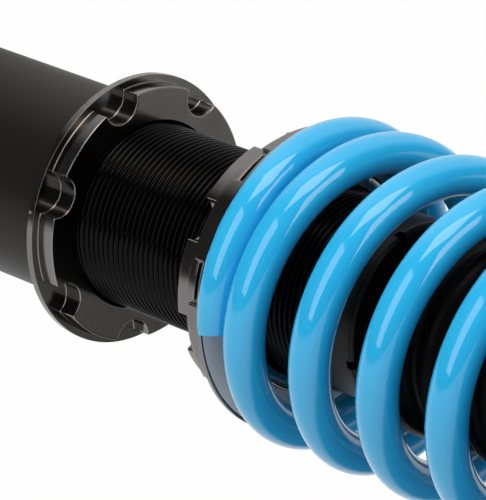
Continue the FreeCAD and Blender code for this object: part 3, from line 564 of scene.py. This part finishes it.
# Ribs: the radius swings between valley and crest as a flattened sine of the height, and a thin bead
# stands on each crest
def bootSkin(b, inset, stepsPerRib, bead):
    height = np.linspace(b["low"], b["high"], b["ribs"] * stepsPerRib + 1)
    share = (height - b["low"]) / (b["high"] - b["low"]) * b["ribs"]
    swing = -np.cos(share * 2 * np.pi)
    swing = np.sign(swing) * np.abs(swing) ** b["flatten"]
    fromCrest = (share % 1 - 0.5) * (b["high"] - b["low"]) / b["ribs"]
    radius = (b["crest"] + b["valley"]) / 2 + (b["crest"] - b["valley"]) / 2 * swing
    radius = radius + bead * np.exp(-(fromCrest / b["beadWide"]) ** 2)
    return np.stack([radius - inset, height], axis=-1)


def makeBoot(b):
    outer = bootSkin(b, 0.0, b["outerSteps"], b["bead"])
    inner = bootSkin(b, b["wall"], b["innerSteps"], 0.0)[::-1]
    cuff = b["valley"] - b["wall"]
    flangeLow = b["top"] - b["flangeThick"]
    lip = b["lip"]
    ends = [(b["valley"], flangeLow), (b["flange"] - lip, flangeLow), (b["flange"], flangeLow + lip),
            (b["flange"], b["top"] - lip), (b["flange"] - lip, b["top"]), (cuff, b["top"])]
    outline = np.concatenate([outer, ends, inner, [(cuff, b["bottom"]), (b["valley"], b["bottom"])]])
    return addPiece("dustBootSkin", makeMesh("dustBootSkin", *turned(outline, 120)), "dust_boot")


dustBoot = makeBoot(boot)
print("boot moulded")


# Buffer, isolators and seals

buffer = {"high": -52.5, "low": -108.2, "radius": 19.0, "bore": 11.3, "waistDeep": 2.5,
          "waists": (0.34, 0.66), "waistWide": 0.05, "nose": 0.12, "noseCurve": 1.5, "ends": 0.01,
          "steps": 90, "lip": 0.8}
pads = {"lower_isolator": {"inner": 32.05, "outer": 43.4, "low": -234.68, "high": -233.72, "lip": 0.15},
        "upper_isolator": {"inner": 32.05, "outer": 43.4, "low": -43.68, "high": -41.52, "lip": 0.8},
        "oil_seal": {"inner": 11.05, "outer": 16.95, "low": -217.2, "high": -210.2, "lip": 0.9},
        "rebound_stop": {"inner": 11.05, "outer": 16.0, "low": -239.2, "high": -231.2, "lip": 1.6}}
wiper = {"low": -198.5, "face": -194.5, "tip": -193.5, "edge": -193.9, "root": -195.5, "outer": 14.95,
         "inner": 11.05, "back": 12.05, "groove": 13.05, "lip": 0.35}


# The buffer's side: a full radius less a bell-shaped waist at each share of its height and a tapered nose
def makeBuffer(b):
    share = np.linspace(b["ends"], 1 - b["ends"], b["steps"])
    waist = sum(np.exp(-((share - place) / b["waistWide"]) ** 2) for place in b["waists"])
    nose = np.clip(1 - share / b["nose"], 0, 1) ** b["noseCurve"]
    radius = b["radius"] - b["waistDeep"] * (waist + nose)
    side = np.stack([radius, b["low"] + share * (b["high"] - b["low"])], axis=-1)
    lip = b["lip"]
    outline = np.concatenate([[(b["bore"] + lip, b["low"]), (side[0, 0] - lip, b["low"])], side,
                              [(b["radius"] - lip, b["high"]), (b["bore"] + lip, b["high"]),
                               (b["bore"], b["high"] - lip), (b["bore"], b["low"] + lip)]])
    addPiece("bufferFoam", makeMesh("bufferFoam", *turned(outline, 96)), "bump_stop")


# Rings of soft stuff: a flat section with its corners rounded away
def makePads():
    for node, p in pads.items():
        section = rounded([(p["inner"], p["low"]), (p["outer"], p["low"]), (p["outer"], p["high"]),
                           (p["inner"], p["high"])], p["lip"], 5)
        name = camelCase(node) + "Moulding"
        addPiece(name, makeMesh(name, *turned(section, 144)), node)


def makeWiper(w):
    section = rounded([(w["back"], w["low"]), (w["outer"], w["low"]), (w["outer"], w["face"]),
                       (w["groove"], w["face"]), (w["back"], w["tip"]), (w["inner"], w["edge"]),
                       (w["inner"], w["root"])], w["lip"])
    addPiece("wiperMoulding", makeMesh("wiperMoulding", *turned(section, 96)), "rod_wiper")


makeBuffer(buffer)
makePads()
makeWiper(wiper)
print("soft rings moulded")


# Lock rings and spring seat

# Bulge is how far a bevel's middle loop stands out; a hold loop keeps the face beside an edge flat
notch = {"radius": 6.1, "count": 7, "corner": 0.5, "bevel": 0.24, "fillet": 0.25, "bulge": 0.3, "hold": 0.1,
         "wallSteps": 12, "cornerSteps": 6, "arcSteps": 13}
ringShape = {"disc": 39.83, "boss": 37.5, "discThick": 2.15, "high": 8.0, "bore": 27.06, "mouth": 0.8,
             "edge": 0.05}
seatShape = {"skirt": 41.38, "rim": 44.25, "rimThick": 1.5, "root": 1.2, "recess": 43.45, "recessDeep": 1.0,
             "hub": 32.0, "hubRise": 5.0, "hubChamfer": 1.0, "high": 7.5, "notchDeep": 3.0, "sill": 0.85,
             "step": 0.03, "bore": 27.06, "mouth": 0.8, "edge": 0.2}
clocks = {"bracketRing": -83.1, "seatRing": -95.9, "seat": -71.9}
ringPlaces = {"bracketDisc": -307.35, "seatBottom": -241.2}


# Plan of a round edge with half-round notches, as points and outward normals: ring arcs, notch arcs round
# centres on the edge, and between them small corner arcs that touch both
def notchedPlan(radius, n, clock):
    corner = n["corner"]
    inner = radius - corner
    touch = n["radius"] + corner
    lean = math.acos((inner ** 2 + radius ** 2 - touch ** 2) / (2 * inner * radius))
    centre = np.array([radius, 0.0])
    pivot = inner * np.array([math.cos(lean), math.sin(lean)])
    toward = (pivot - centre) / touch
    sweep = math.atan2(toward[1], -toward[0])
    half = math.pi / n["count"]
    bend = np.linspace(0, sweep, n["wallSteps"])
    notchWay = np.stack([np.cos(bend), -np.sin(bend)], axis=-1)
    notchPoints = centre - n["radius"] * notchWay
    turn = np.linspace(math.atan2(-toward[1], -toward[0]), lean, n["cornerSteps"])[1:]
    cornerWay = np.stack([np.cos(turn), np.sin(turn)], axis=-1)
    cornerPoints = pivot + corner * cornerWay
    arc = np.linspace(lean, half, n["arcSteps"])[1:]
    arcWay = np.stack([np.cos(arc), np.sin(arc)], axis=-1)
    points = np.concatenate([notchPoints, cornerPoints, radius * arcWay])
    ways = np.concatenate([notchWay, cornerWay, arcWay])
    flip = np.array([1, -1])
    points = np.concatenate([points[:0:-1][1:] * flip, points])
    ways = np.concatenate([ways[:0:-1][1:] * flip, ways])
    allPoints = []
    allWays = []
    for i in range(n["count"]):
        angle = math.radians(clock) + 2 * half * i
        spin = np.array([[math.cos(angle), math.sin(angle)], [-math.sin(angle), math.cos(angle)]])
        allPoints.append(points @ spin)
        allWays.append(ways @ spin)
    return np.concatenate(allPoints), np.concatenate(allWays)


# A ring from rows of (kind, size, height, edge): a circle of that radius, or the notched plan drawn in by
# size, with its notches filled out to the lock ring's radius where the kind is filled. Edge is how far a
# row's
# colour is painted lighter: partly edge wear, partly painted highlight on the bevels
def notchedRing(name, rows, plan, ways, lift, flip=1):
    angle = np.arctan2(plan[:, 1], plan[:, 0])
    circle = np.stack([np.cos(angle), np.sin(angle)], axis=-1)
    made = []
    edge = []
    for kind, size, height, wearAndHighlight in rows:
        flat = size * circle if kind == "circle" else plan - size * ways
        if kind == "filled":
            reach = np.linalg.norm(flat, axis=1, keepdims=True)
            flat = circle * np.maximum(reach, ringShape["disc"])
        made.append(np.concatenate([flat, np.full((len(flat), 1), lift + flip * height)], axis=-1))
        edge.append(np.full(len(flat), wearAndHighlight))
    points = np.concatenate(made)
    return makeMesh(name, points, gridQuads(len(rows), len(plan), True, True), edge=np.concatenate(edge))


# From the bore up, over the boss, down the notched wall and out over the disc
def lockRingRows(r, n):
    top, disc, e, b, f = r["high"], r["discThick"], r["edge"], n["bevel"], n["fillet"]
    bore, mouth, hold, bulge = r["bore"], r["mouth"], n["hold"], n["bulge"]
    # The last value of each row paints it lighter on the bevels: partly edge wear, partly painted highlight
    return [("circle", bore, mouth, 0), ("circle", bore, top - mouth, 0), ("circle", bore + mouth, top, 0.5),
            ("circle", bore + mouth + 2 * hold, top, 0), ("plan", b + hold, top, 0), ("plan", b, top, 1),
            ("plan", b * bulge, top - b * bulge, 1), ("plan", 0, top - b, 1), ("plan", 0, top - b - hold, 0),
            ("plan", 0, disc + f + hold, 0), ("plan", 0, disc + f, 0.6),
            ("plan", -f * bulge, disc + f * bulge, 0.8), ("plan", -f, disc, 0.6),
            ("plan", -f - hold, disc, 0), ("circle", r["disc"] - e - hold, disc, 0),
            ("circle", r["disc"] - e, disc, 0),
            ("circle", r["disc"], disc - e, 0), ("circle", r["disc"], disc - e - hold, 0),
            ("circle", r["disc"], e, 0), ("circle", r["disc"] - e, 0, 0.5), ("circle", bore + mouth, 0, 0)]


# From the bore up, over the hub and the recess, round the rim and down the notched skirt
def seatRows(s, n):
    b, e, bulge, hold = n["bevel"], s["edge"], n["bulge"], n["hold"]
    bore, mouth, chamfer, sill = s["bore"], s["mouth"], s["hubChamfer"], s["sill"]
    hubTop = s["high"] + s["hubRise"]
    rimLow = s["high"] - s["rimThick"]
    floor = s["high"] - s["recessDeep"]
    # The last value of each row paints it lighter on the bevels: partly edge wear, partly painted highlight
    return [("circle", bore, mouth, 0), ("circle", bore, hubTop - mouth, 0),
            ("circle", bore + mouth, hubTop, 0.5), ("circle", s["hub"] - chamfer, hubTop, 0.5),
            ("circle", s["hub"], hubTop - chamfer, 0.5), ("circle", s["hub"], floor, 0),
            ("circle", s["recess"], floor, 0), ("circle", s["recess"], s["high"] - hold, 0),
            ("circle", s["recess"] + hold, s["high"], 1), ("circle", s["rim"] - e, s["high"], 0.6),
            ("circle", s["rim"], s["high"] - e, 1), ("circle", s["rim"], rimLow + e, 0),
            ("circle", s["rim"] - e, rimLow, 0.6), ("circle", s["skirt"] + s["root"], rimLow, 0),
            ("circle", s["skirt"], rimLow - s["root"], 0), ("circle", s["skirt"], s["notchDeep"] + b, 0),
            ("plan", 0, s["notchDeep"], 0.4), ("plan", 0, s["notchDeep"] - hold, 0), ("plan", 0, sill, 0),
            ("filled", 0, sill - s["step"], 0), ("filled", 0, b + hold, 0), ("filled", 0, b, 1),
            ("filled", b * bulge, b * bulge, 1), ("filled", b, 0, 1), ("filled", b + hold, 0, 0),
            ("circle", bore + mouth, 0, 0)]


def makeRings():
    plan, ways = notchedPlan(ringShape["boss"], notch, clocks["bracketRing"])
    rows = lockRingRows(ringShape, notch)
    mesh = notchedRing("bracketRingMetal", rows, plan, ways, ringPlaces["bracketDisc"])
    addPiece("bracketRingMetal", mesh, "bracket_lock_ring")
    plan, ways = notchedPlan(ringShape["boss"], notch, clocks["seatRing"])
    mesh = notchedRing("seatRingMetal", rows, plan, ways, ringPlaces["seatBottom"], -1)
    addPiece("seatRingMetal", mesh, "seat_lock_ring")
    plan, ways = notchedPlan(seatShape["skirt"], notch, clocks["seat"])
    mesh = notchedRing("springSeatMetal", seatRows(seatShape, notch), plan, ways, ringPlaces["seatBottom"])
    addPiece("springSeatMetal", mesh, "spring_seat")


makeRings()
print("rings and seat cut")


# Lower tube

tube = {"radius": 30.92, "bore": 27.06, "top": -307.35, "bottom": -517.35, "round": 0.6}


def makeTube(t):
    outline = [(t["bore"], t["bottom"]), (t["radius"], t["bottom"]), (t["radius"], t["top"]),
               (t["bore"], t["top"])]
    points, quads = turned(rounded(outline, t["round"]), 160)
    addPiece("bracketTubeSkin", makeMesh("bracketTubeSkin", points, quads), "bracket_tube")


makeTube(tube)
print("tube drawn")


# Studs and rod with their cut threads

studs = {"circle": 54.0, "count": 3, "headRadius": 7.5, "headLow": -8.5, "headTop": -6.0, "shoulder": 4.4,
         "radius": 4.0, "top": 25.0, "taper": 1.0, "pitch": 1.25, "depth": 0.6, "threadFrom": 2.5,
         "runIn": 1.0, "lip": 0.5, "knurls": 24, "knurlDeep": 0.12, "stepsPerTurn": 40}
rod = {"radius": 11.0, "stem": 7.0, "shoulder": -33.5, "top": 18.5, "tail": 6.0, "tailTop": -239.2,
       "end": -268.2, "pocket": 2.55, "pocketFloor": 5.5, "pitch": 1.5, "depth": 0.8, "threadFrom": -3.0,
       "runIn": 1.0, "lip": 0.5, "stepsPerTurn": 60}


# A stud is a turned outline whose shoulder is knurled: its radius ripples with the angle
def makeStuds(t):
    radius, shoulder, top = t["radius"], t["shoulder"], t["top"]
    core = radius - t["depth"]
    outline = [(0, t["headLow"]), (t["headRadius"], t["headLow"]), (t["headRadius"], t["headTop"]),
               (shoulder, t["headTop"]), (shoulder, 0), (radius, 0), (radius, t["threadFrom"] - t["runIn"]),
               (core, t["threadFrom"]), (core, top - t["taper"]), (core - t["taper"], top), (0, top)]
    points, quads = turned(rounded(outline, t["lip"]), 96)
    angle = np.arctan2(points[:, 1], points[:, 0])
    distance = np.hypot(points[:, 0], points[:, 1])
    onShoulder = (distance > radius + 0.1) & (distance < shoulder + 0.1) & (points[:, 2] < 0)
    ripple = t["knurlDeep"] * (0.5 + 0.5 * np.cos(t["knurls"] * angle)) / np.maximum(distance, 1)
    points[:, :2] *= (1 - onShoulder * ripple)[:, None]
    shells = []
    for i in range(t["count"]):
        around = math.radians(90 + 360 / t["count"] * i)
        centre = (t["circle"] * math.cos(around), t["circle"] * math.sin(around))
        shells.append((points + (*centre, 0), quads))
        shells.append(threadRidge(radius, t["depth"], t["pitch"], t["threadFrom"], top - t["taper"],
                                  t["stepsPerTurn"], centre))
    mesh = makeMesh("studsCut", *joinShells(shells), weld=True)
    addPiece("studsCut", mesh, "tower_studs")


def makeRod(r):
    core = r["stem"] - r["depth"]
    low = r["threadFrom"]
    outline = [(0, r["end"]), (r["tail"], r["end"]), (r["tail"], r["tailTop"]), (r["radius"], r["tailTop"]),
               (r["radius"], r["shoulder"]), (r["stem"], r["shoulder"]), (r["stem"], low - r["runIn"]),
               (core, low), (core, r["top"]), (r["pocket"], r["top"]), (r["pocket"], r["pocketFloor"]),
               (0, r["pocketFloor"])]
    helix = threadRidge(r["stem"], r["depth"], r["pitch"], low, r["top"] - r["runIn"], r["stepsPerTurn"])
    mesh = makeMesh("rodPolished", *joinShells([turned(rounded(outline, r["lip"]), 96), helix]), weld=True)
    addPiece("rodPolished", mesh, "piston_rod")


makeStuds(studs)
makeRod(rod)
print("studs and rod threaded")


# Pieces whose form the solid already has: their edges are broken by a small bevel, each in millimetres

brokenEdges = {"top_plate": 0.6, "bearing_carrier": 0.5, "slider_screws": 0.2, "slider_washers": 0.1,
               "upper_spacer": 0.3, "lower_spacer": 0.2, "rod_nut": 0.3, "adjuster_knob": 0.2,
               "upper_spring_seat": 0.3, "gland_nut": 0.3, "base_cap": 0.3, "tube_cap": 0.2,
               "knuckle_bracket": 0.8, "link_tab": 0.7, "hose_tab": 0.6}
bevelSteps = 3
sharpAbove = 28      # degrees between faces
washerLift = 0.02    # the washers slide just clear of the plate


# The solid's triangles merged at their corners, and those that lie in one plane joined
def copyOf(node, name):
    shape = bmesh.new()
    shape.from_mesh(frame["nodes"][node].data)
    bmesh.ops.remove_doubles(shape, verts=shape.verts, dist=1e-6)
    bmesh.ops.dissolve_limit(shape, angle_limit=math.radians(0.4), verts=shape.verts, edges=shape.edges)
    mesh = bpy.data.meshes.new(name)
    shape.to_mesh(mesh)
    shape.free()
    mesh.polygons.foreach_set("use_smooth", np.ones(len(mesh.polygons), dtype=bool))
    return mesh


def breakEdges():
    for node, wide in brokenEdges.items():
        name = camelCase(node) + "Dressed"
        piece = addPiece(name, copyOf(node, name), node, weighted=False)
        bevel = piece.modifiers.new("brokenEdges", "BEVEL")
        bevel.width = wide * mm
        bevel.segments = bevelSteps
        bevel.limit_method = "ANGLE"
        bevel.angle_limit = math.radians(sharpAbove)
        shading = piece.modifiers.new("evenShading", "WEIGHTED_NORMAL")
        shading.keep_sharp = True


breakEdges()
# The gland nut takes the darker black plate finish in place of its gunmetal: painted shade for the shade it
# lies in among the coils
bpy.data.objects["glandNutDressed"].data.materials[0] = materials["black_plate"]
bpy.data.objects["sliderWashersDressed"].data.transform(Matrix.Translation((0, 0, washerLift * mm)))
print("edges broken:", len(brokenEdges))


# Weld beads on the lower tube

weld = {"tube": 30.95, "radius": 1.9, "small": 1.5, "ripple": 0.10, "pitch": 2.2, "step": 0.4, "taper": 3.0,
        "thinEnd": 0.15, "around": 14, "bracketHeights": (-424.75, -515.45), "bracketOut": 31.85,
        "bracketTurn": (66, 294), "tabOut": 31.45, "linkLow": -417.0, "linkHigh": -397.7,
        "linkSides": (-3.0, 3.0), "hoseHeights": (-409.85, -413.85), "hoseHalf": 8.0}


# A bead is a round bar laid along its path, swelling a little once in each pitch and thin at its ends
def bead(path, radius, w):
    path = np.asarray(path, dtype=float)
    step = np.linalg.norm(np.diff(path, axis=0), axis=1)
    run = np.concatenate([[0], np.cumsum(step)])
    nearEnd = np.minimum(run, run[-1] - run)
    size = radius * (1 - w["ripple"] + w["ripple"] * np.abs(np.sin(np.pi * run / w["pitch"])))
    size = size * np.clip(nearEnd / w["taper"], w["thinEnd"], 1) ** 0.5
    along = np.gradient(path, axis=0)
    along /= np.linalg.norm(along, axis=1, keepdims=True)
    out = path * (1, 1, 0)
    out /= np.linalg.norm(out, axis=1, keepdims=True)
    side = np.cross(along, out)
    turn = np.linspace(0, 2 * np.pi, w["around"], endpoint=False)
    return swept(path, out, side, np.stack([np.cos(turn), np.sin(turn)], axis=-1), size)


def arcPath(radius, height, first, last, step):
    count = int(abs(math.radians(last - first)) * radius / step) + 1
    turn = np.radians(np.linspace(first, last, count))
    return np.stack([radius * np.cos(turn), radius * np.sin(turn), np.full(count, height)], axis=-1)


def makeWelds(w):
    shells = []
    for height in w["bracketHeights"]:
        path = arcPath(w["bracketOut"], height, *w["bracketTurn"], w["step"])
        shells.append(bead(path, w["radius"], w))
    half = math.degrees(w["hoseHalf"] / w["tube"])
    for height in w["hoseHeights"]:
        path = arcPath(w["tabOut"], height, 90 - half, 90 + half, w["step"])
        shells.append(bead(path, w["small"], w))
    count = int((w["linkHigh"] - w["linkLow"]) / w["step"]) + 1
    height = np.linspace(w["linkLow"], w["linkHigh"], count)
    for across in w["linkSides"]:
        out = -math.sqrt(w["tabOut"] ** 2 - across ** 2)
        path = np.stack([np.full(count, out), np.full(count, across), height], axis=-1)
        shells.append(bead(path, w["small"], w))
    mesh = makeMesh("weldBeads", *joinShells(shells), weld=True)
    addPiece("weldBeads", mesh, body="bracket", slot="black_paint")


makeWelds(weld)
print("welds laid")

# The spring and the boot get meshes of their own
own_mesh(springWire)
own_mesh(dustBoot)

# Stage, camera and light

# The strut was photographed beside a white table and a white wall, in a dim room with three soft boxes.
# Metal and gloss see the table and the wall white and the room dim, each by its way from the strut.
stage = {"floorHalf": 6.0, "floorGap": 0.5, "white": (1.0, 1.0, 1.0), "floorColour": (0.86, 0.86, 0.86),
         "floorShade": (0.8428, 0.8428, 0.8428), "floorGlow": 0.985}
studio = {"offTable": (-0.788, -0.616, 0.0), "tableEdge": (-0.04, 0.03), "toWall": (-0.936, 0.082, -0.342),
          "wallEdge": (0.55, 0.82), "toShade": (0.50, 0.74, 0.45), "shadeEdge": (0.76, 0.885), "room": 0.05,
          "fill": 0.76, "lampColour": (1.0, 0.91, 0.84)}
camera = {"place": (0.0, -0.8765, 0.4914), "right": (-0.3543, 0.6092, 0.7094),
          "up": (-0.9351, -0.2308, -0.2687), "lens": 297.49, "sensor": 36.0}
lamps = [
    {"name": "topBox", "toward": (-0.727, -0.628, 0.282), "distance": 1.2, "size": (1.0, 0.58), "roll": -12,
     "power": 6.9},
    {"name": "leftBox", "toward": (0.057, -0.998, 0.003), "distance": 1.2, "size": (0.80, 1.05), "roll": -28,
     "power": 6.6},
    {"name": "rightBox", "toward": (-0.278, -0.089, 0.955), "distance": 1.2, "size": (0.60, 0.95), "roll": 20,
     "power": 5.8},
]
lampsAim = Vector((0.0, 0.0, -0.215))


def makeStage():
    low = cadBox[0][2] - stage["floorGap"] * mm
    half = stage["floorHalf"]
    mesh = bpy.data.meshes.new("paleFloor")
    mesh.from_pydata([(-half, -half, low), (half, -half, low), (half, half, low), (-half, half, low)], [],
                     [(0, 1, 2, 3)])
    floor = bpy.data.objects.new("paleFloor", mesh)
    bpy.context.scene.collection.objects.link(floor)
    surface = newSurface("paleFloorPaint")
    tint = surface.noise(3.0, 2.0)
    colour = surface.mix(tint, stage["floorShade"], stage["floorColour"])
    diffuse = surface.node("ShaderNodeBsdfDiffuse", {}, {"Color": colour})
    aim = tuple(lampsAim)
    away = surface.node("ShaderNodeVectorMath", {"operation": "SUBTRACT"}, {0: surface.place, 1: aim})
    way = surface.node("ShaderNodeVectorMath", {"operation": "NORMALIZE"}, {0: away})
    direct = surface.seenBy("Camera")
    glossy = surface.seenBy("Glossy") + surface.seenBy("Transmission")
    level = direct + glossy * surface.studioLevel(way)
    glow = surface.node("ShaderNodeEmission", {}, {"Color": (*stage["white"], 1), "Strength": level})
    factor = stage["floorGlow"] * (direct + glossy)
    shader = surface.node("ShaderNodeMixShader", {}, {0: factor, 1: diffuse, 2: glow})
    surface.output("ShaderNodeOutputMaterial", shader)
    mesh.materials.append(surface.owner)


# White to the camera, the photographed studio to glossy rays, and a weaker one as fill light
def makeWorld():
    world = bpy.data.worlds.new("studio")
    bpy.context.scene.world = world
    surface = Surface(world)
    way = surface.node("ShaderNodeTexCoord", out="Generated")
    glossy = surface.seenBy("Glossy") + surface.seenBy("Transmission")
    level = surface.studioLevel(way) * (studio["fill"] + (1 - studio["fill"]) * glossy)
    lit = surface.node("ShaderNodeBackground", {}, {"Color": (*stage["white"], 1), "Strength": level})
    seen = surface.node("ShaderNodeBackground", {}, {"Color": (*stage["white"], 1), "Strength": 1.0})
    shader = surface.node("ShaderNodeMixShader", {}, {0: surface.seenBy("Camera"), 1: lit, 2: seen})
    surface.output("ShaderNodeOutputWorld", shader)


def makeCamera():
    data = bpy.data.cameras.new("photoView")
    data.lens = camera["lens"]
    data.sensor_width = camera["sensor"]
    data.clip_start = 0.05
    data.clip_end = 50
    eye = bpy.data.objects.new("photoView", data)
    bpy.context.scene.collection.objects.link(eye)
    right, up = Vector(camera["right"]), Vector(camera["up"])
    turn = Matrix((right, up, right.cross(up))).transposed()
    eye.matrix_world = Matrix.Translation(Vector(camera["place"])) @ turn.to_4x4()
    bpy.context.scene.camera = eye


def makeLamps():
    for lamp in lamps:
        data = bpy.data.lights.new(lamp["name"], "AREA")
        data.shape = "RECTANGLE"
        data.size, data.size_y = lamp["size"]
        data.energy = lamp["power"]
        data.color = studio["lampColour"]
        box = bpy.data.objects.new(lamp["name"], data)
        bpy.context.scene.collection.objects.link(box)
        toward = Vector(lamp["toward"]).normalized()
        side = Vector(camera["up"]).cross(toward).normalized()
        facing = Matrix((side, toward.cross(side), toward)).transposed()
        turn = facing @ Matrix.Rotation(math.radians(lamp["roll"]), 3, "Z")
        box.matrix_world = Matrix.Translation(lampsAim + toward * lamp["distance"]) @ turn.to_4x4()


makeStage()
makeWorld()
makeCamera()
makeLamps()
bpy.context.scene.view_settings.view_transform = "Standard"
print("stage set")
